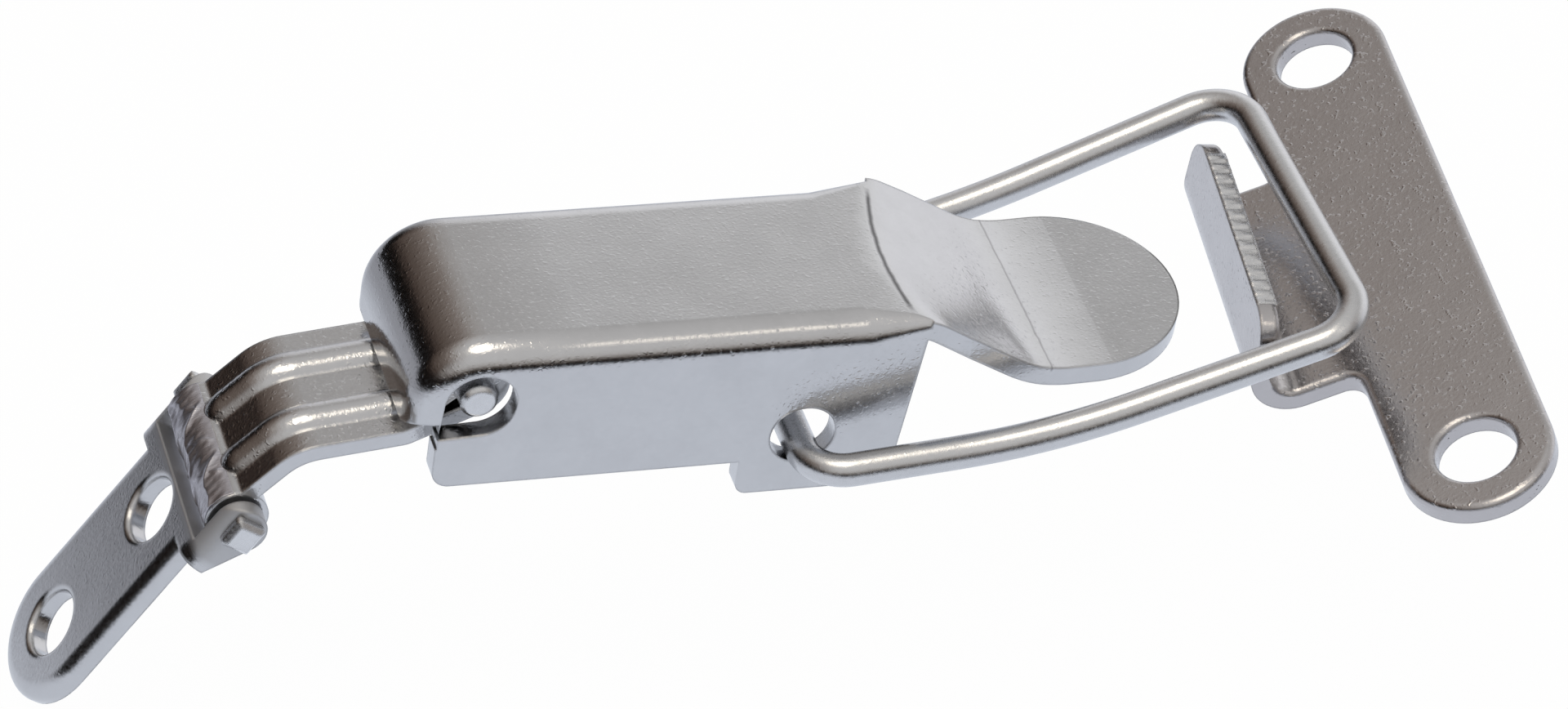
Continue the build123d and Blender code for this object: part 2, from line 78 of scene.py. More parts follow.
# Lever, along x from its nose to its tab
CREASE_X, CREASE_Y = 47.85 * MM, -1.8 * MM          # where the tab's curved crease comes nearest the nose
CREASE_CURVE = 0.017 / MM                           # how fast the crease runs back from there
CREASE_SIDE = (5.8 * MM, 7.0 * MM)                  # the crease fades out here, at the folds
REST_LINE_X = 58.5 * MM                             # the dark line across the thumb rest, painted shade in its bend
TOP_FACE = (13.6 * MM, 13.8 * MM)                   # the lines are drawn above this height
# Painted shade: the dark line tone stands in for the shade in the tab's creases; the roughness and the depth
# make a real shallow groove
CREASE_SHADE_TONE, LINE_ROUGH = "#2C2A2B", 0.4
LINE_DEPTH = 2.0                                    # in grain depths
LINE_WAVER, WAVER_MM = 0.25 * MM, 1.2               # how far the lines waver in all, and over what length
NOSE_LEAN = (25.5 * MM, 6.65 * MM, 100.0 * MM, -8.0)    # start, run, reach, and slope in degrees
REST_LEAN = (63.8 * MM, 4.0 * MM, 1.3 * MM, 9.0)
TIP_X, TIP_SLOPE = 63.0 * MM, 2.5                   # where the tip starts to lean, and how far in degrees

# Keeper
KEEPER_ORIGIN = np.array([86.3, 0.0, 15.7]) * MM    # middle of the keeper's hole line, on its top face
KEEPER_TILT = np.radians(26.5)
HOOK_TURN = np.radians(6.8)                         # how far the tongue points aside
HOOK_LEAN = np.radians(27.0)
HOOK_END = np.array([-9.411, 6.560]) * MM           # middle of the hook's end face, along and above the plate
HOOK_HALF = 8.0 * MM                                # half the length of the hook's cut edge
EDGE_MARGIN = 0.02 * MM                             # from the tear marks to the sheet's faces
EDGE_LIFT, EDGE_SEAT = 0.01 * MM, -0.1 * MM         # the marks' lowest place, and their underside
EDGE_GRID = (420, 26)                               # points along the edge and through the sheet

# Plate
PLATE_EDGE = 0.3 * MM                               # how far the plate rounds every edge off
WAVE_MM, STAIN_MM = 7.0, 3.5                        # sizes of the sheet's waves and of the plate's stains
STAIN_TONE, STREAK_TONE = 0.94, 0.7                 # colour left in a stain and in a ground streak
STREAK_MM, STREAK_TURN = 0.12, (0.0, 0.0, 0.5)      # width of the ground streaks, and their slant in radians
STREAK_DRAW = (0.25, 1.0, 0.25)                     # they are drawn out to four times their width
RUBBED = 0.55                                       # roughness where the plate was rubbed matt

# Stage, with the shades of the room by their height in degrees
ROOM_FOOT, ROOM_TOP = -20, 90                       # lowest and highest edge of the walls
WALL_SHADES = {-20: "#0E0D0D", 9: "#100E0D", 13: "#332A26", 19: "#564A43", 28: "#695E57",
               38: "#877C75", 47: "#B2ADA9", 60: "#C8C7C6", 90: "#CDCCCB"}
FRONT_SHADES = {-20: "#0E0D0D", 5: "#100E0D", 9: "#463B34", 14: "#98928D", 24: "#C4C2C0",
                40: "#CFCECD", 90: "#CDCCCB"}
WINDOW_SHADES = {-20: "#7C7B7C", -6: "#D8D8DA", 8: "#F0F0F4", 20: "#F2F2F4", 33: "#E4E4E4",
                 37: "#D0D0D0", 41: "#AFAEAD", 50: "#BEBDBC", 64: "#C4C3C2", 90: "#CDCCCB"}
WINDOW_HEADING = np.radians(40.0)                   # where the window is, turned from +X
WINDOW_FADE = (0.30, 0.92)                          # cosine of the turn away from it, from none to full
FRONT_FADE = (-0.8, -0.2)                           # the front wall, towards -Y, from full to none
ROOM_GLOW = 1.25                                    # strength of the light from the walls
CARD_BEHIND = (-0.67, 0.74, 0.0)                    # the way in which the painted shade in the card's reflection deepens
CARD_FADE = (-0.01, 0.09)                           # where that starts and ends, in metres
CARD_NEAR, CARD_FAR = "#EEF4FF", "#B0B2BA"          # the reflected card in front of the latch, and behind it, greyer as painted shade
CARD_SEEN = 0.975                                   # share of the card's look that is plain white
LATCH_MIDDLE = (0.045, 0.0, 0.01)                   # what the lamps shine at


# ---------------------------------------------------------------- nodes and meshes

def linear(hex_colour):
    """sRGB hex text to a linear colour with full alpha."""
    srgb = np.array([int(hex_colour[i:i + 2], 16) for i in (1, 3, 5)]) / 255
    lin = np.where(srgb <= 0.04045, srgb / 12.92, ((srgb + 0.055) / 1.055) ** 2.4)
    return (*lin.tolist(), 1.0)


def add_node(tree, kind, inputs=(), **settings):
    """Add a node to a tree, with its settings and its links.

    inputs are its sockets, in order in a list, or by name or number in a dict. Each is a plain
    value, another node's output, or a node, which stands for its first output.
    """
    node = tree.nodes.new(kind)
    for key, value in settings.items():
        setattr(node, key, value)
    for key, value in inputs.items() if isinstance(inputs, dict) else enumerate(inputs):
        if isinstance(value, bpy.types.Node):
            value = value.outputs[0]
        if isinstance(value, bpy.types.NodeSocket):
            tree.links.new(value, node.inputs[key])
        else:
            node.inputs[key].default_value = value
    return node


def new_material(name):
    """A material with an empty tree, as (material, tree, place), where place is Object coordinates."""
    material = bpy.data.materials.new(name)
    material.use_nodes = True
    tree = material.node_tree
    tree.nodes.clear()
    return material, tree, add_node(tree, "ShaderNodeTexCoord").outputs["Object"]


def new_object(name, points, faces, smooth=True):
    """Put a mesh of points and faces into the scene, with its place in its mesh."""
    mesh = bpy.data.meshes.new(name)
    mesh.from_pydata(points.tolist(), [], faces.tolist())
    mesh.polygons.foreach_set("use_smooth", np.full(len(mesh.polygons), smooth))
    item = bpy.data.objects.new(name, mesh)
    bpy.context.scene.collection.objects.link(item)
    return item


def quads(rows, cols, start=0, around=False):
    """Faces of a grid of rows by cols points; around joins the last column to the first."""
    index = start + np.arange(rows * cols).reshape(rows, cols)
    step = np.roll(index, -1, 1)
    if not around:
        index, step = index[:, :-1], step[:, :-1]
    return np.stack([index[:-1], step[:-1], step[1:], index[1:]], -1).reshape(-1, 4)


def closed_sheet(name, outer, inner):
    """Closed sheet between two grids of points of one shape, outer and inner, both rows by cols by 3.

    The rim is the quads that join each outer border point to the inner one under it.
    """
    rows, cols = outer.shape[:2]
    count = rows * cols
    points = np.concatenate([outer.reshape(-1, 3), inner.reshape(-1, 3)])
    grid = np.arange(count).reshape(rows, cols)
    border = np.concatenate([grid[0, :-1], grid[:-1, -1], grid[-1, :0:-1], grid[:0:-1, 0]])
    after = np.roll(border, -1)
    rim = np.stack([border, border + count, after + count, after], -1)
    faces = np.concatenate([quads(rows, cols), quads(rows, cols, count)[:, ::-1], rim])
    return new_object(name, points, faces)


def dress(node_name, material):
    """Give a carried-over CAD node its finish."""
    mesh = frame["nodes"][node_name].data
    mesh.materials.clear()
    mesh.materials.append(material)


# ---------------------------------------------------------------- finishes

def plated_steel(name, colour, roughness, grain_mm, grain_depth_mm, wave_depth_mm, speck,
                 lines=None, lean=None, rubbed=None):
    """Pressed steel with a bright nickel plate: a mirror under the fine satin grain of the rolled sheet.

    The eye sees soft reflections with faint bright specks, as the grain shows through the plate,
    and long reflections that wander, because a pressed sheet is never quite flat. The plate rounds
    every edge a little, so a thin line of light runs along it. The real grain of about 0.1 mm is
    too fine to show and is drawn about twice as coarse. Where they are given, lines draws the
    bends' lines: a shallow rougher groove that the bending tool leaves, and a dark colour painted
    into it as the shade of the crease. lean gives the height in metres by which the sheet
    leaves its flat beside a bend, and rubbed marks where the plate was rubbed matt.
    """
    material, tree, place = new_material(name)
    grain, dots, waves, stain = (
        add_node(tree, "ShaderNodeTexNoise", {
            "Vector": place, "Scale": 1 / (size_mm * MM), "Detail": detail, "Roughness": fineness})
        for size_mm, detail, fineness in ((grain_mm, 3.0, 0.6), (grain_mm * 1.3, 1.0, 0.5),
                                          (WAVE_MM, 1.0, 0.5), (STAIN_MM, 4.0, 0.7)))
    stained = add_node(tree, "ShaderNodeMapRange", [stain, 0.35, 0.7, 0.0, 1.0])
    tone = add_node(tree, "ShaderNodeMix", {
        0: stained, 6: (*colour, 1.0), 7: (*(c * STAIN_TONE for c in colour), 1.0)}, data_type="RGBA")
    rough = add_node(tree, "ShaderNodeMapRange", [grain, 0.3, 0.7, roughness * 0.75, roughness * 1.3])
    specks = add_node(tree, "ShaderNodeMapRange", [dots, 0.60, 0.74, 0.0, speck])
    height = add_node(tree, "ShaderNodeMath", [grain, specks], operation="ADD")
    # Painted shade: the bend lines darken the colour to the line tone, standing in for the shade in the
    # creases, and also roughen and groove the plate
    if lines is not None:
        mark = lines(tree, place)
        tone = add_node(tree, "ShaderNodeMix", {
            0: mark, 6: tone.outputs[2], 7: linear(CREASE_SHADE_TONE)}, data_type="RGBA")
        scratch = add_node(tree, "ShaderNodeMath", [mark, LINE_ROUGH], operation="MULTIPLY")
        rough = add_node(tree, "ShaderNodeMath", [rough, scratch], operation="MAXIMUM")
        height = add_node(tree, "ShaderNodeMath", [mark, -LINE_DEPTH, height], operation="MULTIPLY_ADD")
    if rubbed is not None:
        matt = add_node(tree, "ShaderNodeMath", [rubbed(tree, place), RUBBED], operation="MULTIPLY")
        rough = add_node(tree, "ShaderNodeMath", [rough, matt], operation="MAXIMUM")
    bumps = [(waves, wave_depth_mm * MM), (height, grain_depth_mm * MM)]
    if lean is not None:
        bumps.insert(0, (lean(tree, place), 1.0))
    normal = add_node(tree, "ShaderNodeBevel", {"Radius": PLATE_EDGE}, samples=4)
    for rise, distance in bumps:
        normal = add_node(tree, "ShaderNodeBump", {
            "Strength": 1.0, "Distance": distance, "Height": rise, "Normal": normal})
    shader = add_node(tree, "ShaderNodeBsdfPrincipled", {
        "Base Color": tone.outputs[2], "Metallic": 1.0, "Roughness": rough, "Normal": normal})
    add_node(tree, "ShaderNodeOutputMaterial", {"Surface": shader})
    return material


def bend_grooves_and_shade(tree, place):
    """Mask of the dark lines in the finger tab's bends, a shallow groove with painted shade: one in its
    curved crease, one across the thumb rest.

    The crease lies where x = CREASE_X + CREASE_CURVE (y - CREASE_Y)^2, the other where
    x = REST_LINE_X, and both waver by up to half of LINE_WAVER to either side.
    """
    spot = add_node(tree, "ShaderNodeSeparateXYZ", [place])
    ripple = add_node(tree, "ShaderNodeTexNoise", {
        "Vector": place, "Scale": 1 / (WAVER_MM * MM), "Detail": 2.0, "Roughness": 0.5})
    waver = add_node(tree, "ShaderNodeMath", [ripple, LINE_WAVER, -LINE_WAVER / 2],
                     operation="MULTIPLY_ADD")
    x = add_node(tree, "ShaderNodeMath", [spot.outputs["X"], waver], operation="ADD")
    aside = add_node(tree, "ShaderNodeMath", [spot.outputs["Y"], CREASE_Y], operation="SUBTRACT")
    square = add_node(tree, "ShaderNodeMath", [aside, aside], operation="MULTIPLY")
    crease = add_node(tree, "ShaderNodeMath", [square, CREASE_CURVE, CREASE_X], operation="MULTIPLY_ADD")
    marks = []
    # Painted shade: each line is darkest near its middle and clears further out
    for middle, dark_mm, clear_mm, depth in ((crease, 0.05, 0.26, 0.75), (REST_LINE_X, 0.02, 0.13, 0.35)):
        off = add_node(tree, "ShaderNodeMath", [x, middle], operation="SUBTRACT")
        far = add_node(tree, "ShaderNodeMath", [off], operation="ABSOLUTE")
        marks.append(add_node(tree, "ShaderNodeMapRange", [far, dark_mm * MM, clear_mm * MM, depth, 0.0]))
    side = add_node(tree, "ShaderNodeMath", [spot.outputs["Y"]], operation="ABSOLUTE")
    within = add_node(tree, "ShaderNodeMapRange", [side, *CREASE_SIDE, 1.0, 0.0])
    marks[0] = add_node(tree, "ShaderNodeMath", [marks[0], within], operation="MULTIPLY")
    mark = add_node(tree, "ShaderNodeMath", marks, operation="MAXIMUM")
    above = add_node(tree, "ShaderNodeMapRange", [spot.outputs["Z"], *TOP_FACE, 0.0, 1.0])
    return add_node(tree, "ShaderNodeMath", [mark, above], operation="MULTIPLY")


def bend_lean(tree, place):
    """Height in metres by which the lever's sheet leaves its flat beside its bends.

    With d the distance from a lean's start towards the nose and m = min(d, run), the height is
    tan(slope) * (m^2 / (2 run) + min(d - m, reach)): the sheet turns gently over the run and then
    stays straight over the reach. The tip rises straight from TIP_X outwards.
    """
    x = add_node(tree, "ShaderNodeSeparateXYZ", [place]).outputs["X"]
    past = add_node(tree, "ShaderNodeMath", [x, TIP_X], operation="SUBTRACT")
    tip = add_node(tree, "ShaderNodeMath", [past, 0.0], operation="MAXIMUM")
    height = add_node(tree, "ShaderNodeMath", [tip, np.tan(np.radians(TIP_SLOPE))], operation="MULTIPLY")
    for start, run, reach, slope in (REST_LEAN, NOSE_LEAN):
        before = add_node(tree, "ShaderNodeMath", [start, x], operation="SUBTRACT")
        ahead = add_node(tree, "ShaderNodeMath", [before, 0.0], operation="MAXIMUM")
        bent = add_node(tree, "ShaderNodeMath", [ahead, run], operation="MINIMUM")
        square = add_node(tree, "ShaderNodeMath", [bent, bent], operation="MULTIPLY")
        rest = add_node(tree, "ShaderNodeMath", [ahead, bent], operation="SUBTRACT")
        straight = add_node(tree, "ShaderNodeMath", [rest, reach], operation="MINIMUM")
        lift = add_node(tree, "ShaderNodeMath", [square, 0.5 / run, straight], operation="MULTIPLY_ADD")
        height = add_node(tree, "ShaderNodeMath", [lift, np.tan(np.radians(slope)), height],
                          operation="MULTIPLY_ADD")
    return height


def near_hinge(tree, place):
    """Mask of what lies near the hinge's axis, where the ears were staked over the pin."""
    level = add_node(tree, "ShaderNodeVectorMath", [place, (1.0, 0.0, 1.0)], operation="MULTIPLY")
    far = add_node(tree, "ShaderNodeVectorMath", [level, (HINGE[0], 0.0, HINGE[2])], operation="DISTANCE")
    return add_node(tree, "ShaderNodeMapRange", [far.outputs["Value"], RUB_NEAR, RUB_FAR, 1.0, 0.0])


def ground_plate(name, colour):
    """Nickel plate over a roll that was squeezed and ground: dull, with scratches that run round it.

    The eye sees a grey streaky band, broken by small bright facets. Real scratches are about
    0.05 mm apart and are drawn 0.12 mm apart, to show.
    """
    material, tree, place = new_material(name)
    turned = add_node(tree, "ShaderNodeMapping", {
        "Vector": place, "Rotation": STREAK_TURN, "Scale": STREAK_DRAW})
    streak = add_node(tree, "ShaderNodeTexNoise", {
        "Vector": turned, "Scale": 1 / (STREAK_MM * MM), "Detail": 3.0, "Roughness": 0.7})
    bright = add_node(tree, "ShaderNodeMapRange", [streak, 0.3, 0.7, 0.0, 1.0])
    tone = add_node(tree, "ShaderNodeMix", {
        0: bright, 6: (*(c * STREAK_TONE for c in colour), 1.0), 7: (*colour, 1.0)}, data_type="RGBA")
    rough = add_node(tree, "ShaderNodeMapRange", [streak, 0.3, 0.7, 0.45, 0.25])
    bump = add_node(tree, "ShaderNodeBump", {"Strength": 1.0, "Distance": 0.02 * MM, "Height": streak})
    shader = add_node(tree, "ShaderNodeBsdfPrincipled", {
        "Base Color": tone.outputs[2], "Metallic": 1.0, "Roughness": rough, "Normal": bump})
    add_node(tree, "ShaderNodeOutputMaterial", {"Surface": shader})
    return material


def white_card():
    """Matt white card: plain white to the eye, and cool, and greyer behind as painted shade, in the plate's
    reflections.
    """
    material, tree, place = new_material("matt_white_card")
    rays = add_node(tree, "ShaderNodeLightPath").outputs
    behind = add_node(tree, "ShaderNodeVectorMath", [place, CARD_BEHIND], operation="DOT_PRODUCT")
    fade = add_node(tree, "ShaderNodeMapRange", [behind.outputs["Value"], *CARD_FADE, 0.0, 1.0],
                    interpolation_type="SMOOTHSTEP")
    # Painted shade: glossy rays see the card greyer behind the latch
    shade = add_node(tree, "ShaderNodeMix", {
        0: fade, 6: linear(CARD_NEAR), 7: linear(CARD_FAR)}, data_type="RGBA")
    tone = add_node(tree, "ShaderNodeMix", {
        0: rays["Is Glossy Ray"], 6: linear("#FFFFFF"), 7: shade.outputs[2]}, data_type="RGBA")
    seen = add_node(tree, "ShaderNodeMath", [rays["Is Camera Ray"], rays["Is Glossy Ray"]],
                    operation="MAXIMUM")
    seen = add_node(tree, "ShaderNodeMath", [seen, rays["Is Transmission Ray"]], operation="MAXIMUM")
    share = add_node(tree, "ShaderNodeMath", [seen, CARD_SEEN], operation="MULTIPLY")
    matt = add_node(tree, "ShaderNodeBsdfDiffuse", {"Color": linear("#FFFFFF")})
    glow = add_node(tree, "ShaderNodeEmission", {"Color": tone.outputs[2], "Strength": 1.0})
    card = add_node(tree, "ShaderNodeMixShader", [share, matt, glow])
    add_node(tree, "ShaderNodeOutputMaterial", {"Surface": card})
    return material


def studio_walls(radius):
    """Soft grey room: dark at the card's edge, brown above it, pale overhead and towards the window.

    The plate is a mirror, so the eye sees the light and dark of these walls in it.
    """
    material, tree, place = new_material("soft_grey_room")
    z = add_node(tree, "ShaderNodeSeparateXYZ", [place]).outputs["Z"]
    sine = add_node(tree, "ShaderNodeMath", [z, radius], operation="DIVIDE")
    angle = add_node(tree, "ShaderNodeMath", [sine], operation="ARCSINE")
    rise = add_node(tree, "ShaderNodeMapRange", [angle, *np.radians([ROOM_FOOT, ROOM_TOP]), 0.0, 1.0])
    ramps = []
    for shades in (WALL_SHADES, FRONT_SHADES, WINDOW_SHADES):
        ramps.append(add_node(tree, "ShaderNodeValToRGB", [rise]))
        stops = ramps[-1].color_ramp.elements
        for degrees, colour in shades.items():
            at = (degrees - ROOM_FOOT) / (ROOM_TOP - ROOM_FOOT)
            stop = stops[0] if at == 0 else stops[-1] if at == 1 else stops.new(at)
            stop.color = linear(colour)
    level = add_node(tree, "ShaderNodeVectorMath", [place, (1.0, 1.0, 0.0)], operation="MULTIPLY")
    heading = add_node(tree, "ShaderNodeVectorMath", [level], operation="NORMALIZE")
    y = add_node(tree, "ShaderNodeSeparateXYZ", [heading]).outputs["Y"]
    front = add_node(tree, "ShaderNodeMapRange", [y, *FRONT_FADE, 1.0, 0.0])
    facing = add_node(tree, "ShaderNodeVectorMath", [
        heading, (np.cos(WINDOW_HEADING), np.sin(WINDOW_HEADING), 0.0)], operation="DOT_PRODUCT")
    window = add_node(tree, "ShaderNodeMapRange", [facing.outputs["Value"], *WINDOW_FADE, 0.0, 1.0],
                      interpolation_type="SMOOTHSTEP")
    tone = ramps[0].outputs[0]
    for share, ramp in ((front, ramps[1]), (window, ramps[2])):
        tone = add_node(tree, "ShaderNodeMix", {0: share, 6: tone, 7: ramp}, data_type="RGBA").outputs[2]
    glow = add_node(tree, "ShaderNodeEmission", {"Color": tone, "Strength": ROOM_GLOW})
    add_node(tree, "ShaderNodeOutputMaterial", {"Surface": glow})
    return material


# ---------------------------------------------------------------- what a user may change

class LatchColours(bpy.types.PropertyGroup):
    """Colours of the plated pieces"""
    sheet: bpy.props.FloatVectorProperty(
        name="Sheet", description="Plate on the strip, the link and the lever", subtype="COLOR",
        default=linear("#C4C4C5")[:3], min=0.0, max=1.0)
    keeper: bpy.props.FloatVectorProperty(
        name="Keeper", description="Plate on the keeper, a little warmer", subtype="COLOR",
        default=linear("#BAB7B7")[:3], min=0.0, max=1.0)
    wire: bpy.props.FloatVectorProperty(
        name="Wire", description="Bright plate on the bail", subtype="COLOR",
        default=linear("#CACACB")[:3], min=0.0, max=1.0)
    # Painted highlight: the hook's cut edge takes this brighter colour, partly standing in for the glints of
    # its torn face
    pin: bpy.props.FloatVectorProperty(
        name="Pins", description="Bright plate on the two pins and the hook's cut edge", subtype="COLOR",
        default=linear("#D2D2D3")[:3], min=0.0, max=1.0)
    roll: bpy.props.FloatVectorProperty(
        name="Hinge Roll", description="Ground plate on the hinge roll", subtype="COLOR",
        default=linear("#C4C2C8")[:3], min=0.0, max=1.0)


class LatchSizes(bpy.types.PropertyGroup):
    """Sizes of the fine forms and of the stage"""
    roll_radius: bpy.props.FloatProperty(
        name="Roll Radius", description="Outside radius of the hinge roll's squeezed skin",
        default=2.2 * MM, min=2.17 * MM, max=2.3 * MM, unit="LENGTH", precision=5)
    roll_rumple: bpy.props.FloatProperty(
        name="Roll Rumple", description="Height of the folds in the hinge roll's skin",
        default=0.16 * MM, min=0.0, max=0.2 * MM, unit="LENGTH", precision=5)
    shear_ridge: bpy.props.FloatProperty(
        name="Shear Ridge", description="Height of the die marks on the hook's cut edge",
        default=0.14 * MM, min=0.0, max=0.2 * MM, unit="LENGTH", precision=5)
    card_half: bpy.props.FloatProperty(
        name="Card Half Width", description="Half the width of the white card under the latch",
        default=0.20, min=0.1, max=1.0, unit="LENGTH")
    card_gap: bpy.props.FloatProperty(
        name="Card Gap", description="From the latch's lowest point down to the card",
        default=0.5 * MM, min=0.0, max=0.01, unit="LENGTH", precision=5)
    room_radius: bpy.props.FloatProperty(
        name="Room Radius", description="Radius of the room that the plate reflects",
        default=1.6, min=0.5, max=5.0, unit="LENGTH")


# ---------------------------------------------------------------- pieces

class OBJECT_OT_latch_sheet(bpy.types.Operator):
    """Give the hinged strip and the ribbed link their satin plate"""
    bl_idname = "object.latch_sheet"
    bl_label = "Strip and Link"

    def execute(self, context):
        colour = context.scene.latch_colours.sheet
        dress("base_plate", plated_steel(
            "nickel_plated_strip", colour, roughness=0.17, grain_mm=0.24, grain_depth_mm=0.0065,
            wave_depth_mm=0.04, speck=0.3, rubbed=near_hinge))
        dress("link_plate", plated_steel(
            "nickel_plated_link", colour, roughness=0.16, grain_mm=0.26, grain_depth_mm=0.011,
            wave_depth_mm=0.05, speck=1.0))
        return {"FINISHED"}


class OBJECT_OT_latch_lever(bpy.types.Operator):
    """Give the lever its satin plate, and the grooves and painted shade of its bends"""
    bl_idname = "object.latch_lever"
    bl_label = "Lever"

    def execute(self, context):
        dress("lever", plated_steel(
            "nickel_plated_lever", context.scene.latch_colours.sheet, roughness=0.16, grain_mm=0.24,
            grain_depth_mm=0.009, wave_depth_mm=0.04, speck=0.8, lines=bend_grooves_and_shade, lean=bend_lean))
        return {"FINISHED"}


class OBJECT_OT_latch_wire(bpy.types.Operator):
    """Give the bail and the pins their bright plate"""
    bl_idname = "object.latch_wire"
    bl_label = "Bail and Pins"

    def execute(self, context):
        colours = context.scene.latch_colours
        dress("wire_bail", plated_steel(
            "bright_nickel_wire", colours.wire, roughness=0.24, grain_mm=0.30, grain_depth_mm=0.006,
            wave_depth_mm=0.03, speck=0.6))
        pin = plated_steel(
            "bright_nickel_pin", colours.pin, roughness=0.26, grain_mm=0.30, grain_depth_mm=0.006,
            wave_depth_mm=0.02, speck=0.4)
        dress("base_hinge_pin", pin)
        dress("lever_pivot_pin", pin)
        return {"FINISHED"}


class OBJECT_OT_latch_keeper(bpy.types.Operator):
    """Give the keeper plate its warmer satin plate"""
    bl_idname = "object.latch_keeper"
    bl_label = "Keeper"

    def execute(self, context):
        dress("keeper_plate", plated_steel(
            "nickel_plated_keeper", context.scene.latch_colours.keeper, roughness=0.18, grain_mm=0.28,
            grain_depth_mm=0.012, wave_depth_mm=0.04, speck=1.5))
        return {"FINISHED"}


def roll_folds(turn, across):
    """Height of the folds of a squeezed roll, from 0 to 1, at an angle and a place across it in mm.

    It is the higher of two sets of crests, each 1 - |sin p| for a slanting phase p, raised to the
    third power to sharpen it, over a fine ripple of sines, and it fades out at both ends.
    """
    slant = 0.55 * across + 2.2 * turn + 0.5 * np.sin(1.3 * across + turn)
    cross = 0.9 * across - 1.6 * turn + 0.4 * np.sin(2.1 * across)
    crest = np.maximum(1 - np.abs(np.sin(slant)), 0.8 * (1 - np.abs(np.sin(cross)))) ** 3
    ripple = 0.15 * np.sin(9.0 * turn + 3.1 * across) * np.sin(5.3 * across)
    fade = np.clip(np.minimum(turn - turn[0], turn[-1] - turn) / 0.25, 0, 1)
    return fade * np.clip(crest + ripple, 0, 1)


class OBJECT_OT_latch_hinge_roll(bpy.types.Operator):
    """Wrap the hinge roll in its squeezed and ground skin"""
    bl_idname = "object.latch_hinge_roll"
    bl_label = "Hinge Roll Skin"

    def execute(self, context):
        """A point at angle a and width y lies at (r cos a, y, r sin a) from the hinge's axis.

        r is the skin's radius plus the rumple times its folds, and SKIN_SEAT on the inner side.
        """
        sizes = context.scene.latch_sizes
        low, high = (corner[1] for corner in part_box("link_plate"))
        turn = np.radians(np.linspace(*SKIN_TURN, SKIN_GRID[0]))[:, None]
        y = np.linspace(low + SKIN_MARGIN, high - SKIN_MARGIN, SKIN_GRID[1])[None, :]
        radius = sizes.roll_radius + sizes.roll_rumple * roll_folds(turn, y / MM)

        def ring(r):
            return np.stack([HINGE[0] + r * np.cos(turn), y + 0 * r, HINGE[2] + r * np.sin(turn)], -1)

        skin = closed_sheet("hinge_roll_skin", ring(radius), ring(np.full_like(radius, SKIN_SEAT)))
        skin.data.materials.append(ground_plate("ground_nickel_roll", context.scene.latch_colours.roll))
        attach(skin, "link")
        return {"FINISHED"}


def tear_marks(s, t):
    """Height of a die's tear marks, from 0 to 1, at s mm along a cut edge and t sheets through it.

    It is a sum of sines of s whose crests lean with t, rounded off to nothing at the rim.
    """
    wave = (0.5 + 0.3 * np.sin(5.2 * s + 1.8 * t + np.sin(0.9 * s)) + 0.2 * np.sin(11.7 * s - 2.5 * t)
            + 0.18 * np.sin(23.0 * s + 7.0 * t) * np.sin(1.7 * s))
    rim = np.clip((0.5 - np.abs(t)) / 0.12, 0, 1) * np.clip((HOOK_HALF / MM - np.abs(s)) / 0.5, 0, 1)
    return np.clip(wave, 0, 1) * np.sqrt(rim)


def on_hook(along, across, above):
    """Place of a point given along, across and above the keeper's tongue."""
    x = along * np.cos(HOOK_TURN) + across * np.sin(HOOK_TURN)
    y = -along * np.sin(HOOK_TURN) + across * np.cos(HOOK_TURN)
    return KEEPER_ORIGIN + np.stack([x * np.cos(KEEPER_TILT) - above * np.sin(KEEPER_TILT), y,
                                     x * np.sin(KEEPER_TILT) + above * np.cos(KEEPER_TILT)], -1)


class OBJECT_OT_latch_hook_edge(bpy.types.Operator):
    """Lay the die's tear marks along the hook's cut edge"""
    bl_idname = "object.latch_hook_edge"
    bl_label = "Hook's Cut Edge"

    def execute(self, context):
        """A point u along the edge and v through the sheet stands off the hook's end face.

        Its height is EDGE_LIFT plus the ridge times its tear mark, and EDGE_SEAT on the inner side.
        """
        u = np.linspace(-HOOK_HALF, HOOK_HALF, EDGE_GRID[0])[:, None]
        v = np.linspace(-0.5, 0.5, EDGE_GRID[1])[None, :] * (SHEET - 2 * EDGE_MARGIN)
        lift = EDGE_LIFT + context.scene.latch_sizes.shear_ridge * tear_marks(u / MM, v / SHEET)

        def over(height):
            along = HOOK_END[0] + v * np.cos(HOOK_LEAN) + height * np.sin(HOOK_LEAN)
            above = HOOK_END[1] - v * np.sin(HOOK_LEAN) + height * np.cos(HOOK_LEAN)
            return on_hook(along, u + 0 * v, above)

        edge = closed_sheet("hook_cut_edge", over(lift), over(np.full_like(lift, EDGE_SEAT)))
        # Painted highlight: the cut edge takes the brighter pin colour, partly standing in for the glints of
        # its torn face
        edge.data.materials.append(plated_steel(
            "nickel_plated_cut_edge", context.scene.latch_colours.pin, roughness=0.24, grain_mm=0.22,
            grain_depth_mm=0.008, wave_depth_mm=0.02, speck=1.0))
        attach(edge, "keeper")
        return {"FINISHED"}


# ---------------------------------------------------------------- stage

def studio_dome(name, radius, rings=49, turns=96):
    """Inside of a sphere, from the room's foot to its top.

    A point at turn a and elevation e is radius * (cos e cos a, cos e sin a, sin e).
    """
    turn = np.linspace(0, 2 * np.pi, turns, endpoint=False)
    rise = np.radians(np.linspace(ROOM_FOOT, ROOM_TOP, rings))
    points = radius * np.stack([np.outer(np.cos(rise), np.cos(turn)), np.outer(np.cos(rise), np.sin(turn)),
                                np.outer(np.sin(rise), np.ones_like(turn))], -1)
    return new_object(name, points.reshape(-1, 3), quads(rings, turns, around=True)[:, ::-1])


def add_lamp(name, place, size, power):
    """Soft round lamp of a warm white that shines at the latch."""
    data = bpy.data.lights.new(name, "AREA")
    data.shape, data.size, data.energy, data.color = "DISK", size, power, linear("#FFF3DF")[:3]
    item = bpy.data.objects.new(name, data)
    item.location = place
    item.rotation_mode = "QUATERNION"
    item.rotation_quaternion = (Vector(LATCH_MIDDLE) - Vector(place)).to_track_quat("-Z", "Y")
    bpy.context.scene.collection.objects.link(item)


